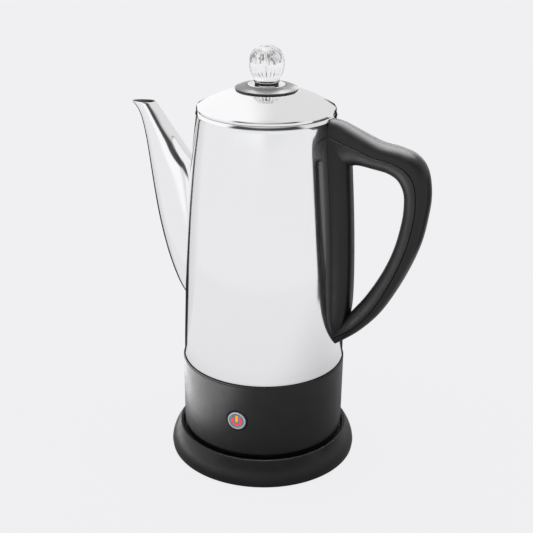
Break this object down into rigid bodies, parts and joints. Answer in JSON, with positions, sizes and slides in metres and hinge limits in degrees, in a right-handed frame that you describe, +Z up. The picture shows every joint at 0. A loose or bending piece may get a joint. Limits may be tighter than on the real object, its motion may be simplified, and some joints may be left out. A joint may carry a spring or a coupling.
{
  "type": "coffee percolator",
  "caption": "Electric coffee percolator: steel vessel with spout, D-shaped handle, domed lid with clear knob and basket, lifting off a round power base.",
  "frame": {"origin": "on the table under the middle of the overall length, spout tip to handle", "axes": "+X towards the handle, -X towards the spout, +Z up, +Y away from the power button's side"},
  "size_m": [0.2516, 0.152, 0.3331],
  "materials": {
    "polished_steel": "mirror polished stainless steel",
    "plain_steel": "satin stainless steel",
    "aluminium": "satin",
    "brass": "bright",
    "black_plastic": "satin moulded, fine grain",
    "dark_plastic": "matte moulded",
    "cream_plastic": "matte ceramic-filled",
    "rubber": "matte",
    "silicone": "satin",
    "clear_plastic": "clear, polished, fluted",
    "button_silver": "satin silver",
    "button_face": "translucent, lit symbol"
  },
  "bodies": {
    "power_base": {"base_shell": "black_plastic", "base_bottom_plate": "dark_plastic", "base_foot_1": "rubber", "base_foot_2": "rubber", "base_foot_3": "rubber", "base_foot_4": "rubber", "base_screw_1": "plain_steel", "base_screw_2": "plain_steel", "base_screw_3": "plain_steel", "base_connector": "dark_plastic", "base_contact_inner": "brass", "base_contact_outer": "brass", "cord_gland": "rubber"},
    "coupler": {"jug_coupler": "dark_plastic", "coupler_centre_pin": "brass", "coupler_neutral_blade": "brass", "coupler_earth_blade": "brass"},
    "jug": {"collar_housing": "black_plastic", "collar_bottom_cover": "dark_plastic", "collar_seal": "silicone", "heater_plate": "aluminium", "heater_ring": "plain_steel", "heater_terminal_1": "brass", "heater_terminal_2": "brass", "brew_thermostat": "cream_plastic", "keep_warm_thermostat": "dark_plastic", "thermal_fuse": "cream_plastic", "switch_module": "dark_plastic", "lead_live": "dark_plastic", "lead_neutral": "cream_plastic", "button_bezel": "dark_plastic", "vessel": "polished_steel", "spout": "polished_steel", "handle_inner_shell": "black_plastic", "handle_outer_shell": "black_plastic", "handle_bracket_upper": "plain_steel", "handle_bracket_lower": "plain_steel", "handle_screw_upper": "plain_steel", "handle_screw_lower": "plain_steel"},
    "button": {"power_button": "button_silver", "button_lens": "button_face", "button_spring": "plain_steel"},
    "pump": {"pump_stem": "plain_steel", "pump_foot": "plain_steel", "basket_stop": "plain_steel"},
    "valve": {"pump_valve": "plain_steel"},
    "basket": {"brew_basket": "aluminium", "basket_tube": "aluminium"},
    "cover": {"basket_cover": "aluminium"},
    "lid": {"lid_dome": "polished_steel", "lid_inner_skirt": "plain_steel", "lid_gasket": "silicone", "knob_ring": "black_plastic", "knob_seat": "polished_steel", "knob_retainer": "plain_steel"},
    "knob": {"clear_knob": "clear_plastic", "knob_gasket": "rubber"}
  },
  "joints": [
    {"name": "jug_lift", "type": "slide", "parent": "power_base", "child": "coupler", "axis": [0, 0, 1], "range_m": [0, 0.12]},
    {"name": "jug_swivel", "type": "hinge", "parent": "coupler", "child": "jug", "pos_m": [-0.0064, 0, 0], "axis": [0, 0, 1], "continuous": true},
    {"name": "button_press", "type": "slide", "parent": "jug", "child": "button", "axis": [-0.1444, 0.9895, 0], "range_m": [0, 0.0018], "stiffness_N_per_m": 400, "springref_m": -0.002},
    {"name": "pump_lift", "type": "slide", "parent": "jug", "child": "pump", "axis": [0, 0, 1], "range_m": [0, 0.22]},
    {"name": "valve_lift", "type": "slide", "parent": "pump", "child": "valve", "axis": [0, 0, 1], "range_m": [0, 0.002]},
    {"name": "basket_lift", "type": "slide", "parent": "pump", "child": "basket", "axis": [0, 0, 1], "range_m": [0, 0.07]},
    {"name": "cover_lift", "type": "slide", "parent": "basket", "child": "cover", "axis": [0, 0, 1], "range_m": [0, 0.04]},
    {"name": "lid_lift", "type": "slide", "parent": "cover", "child": "lid", "axis": [0, 0, 1], "range_m": [0, 0.08]},
    {"name": "knob_twist", "type": "hinge", "parent": "lid", "child": "knob", "pos_m": [-0.0064, 0, 0.307], "axis": [0, 0, 1], "range_deg": [0, 60]}
  ]
}
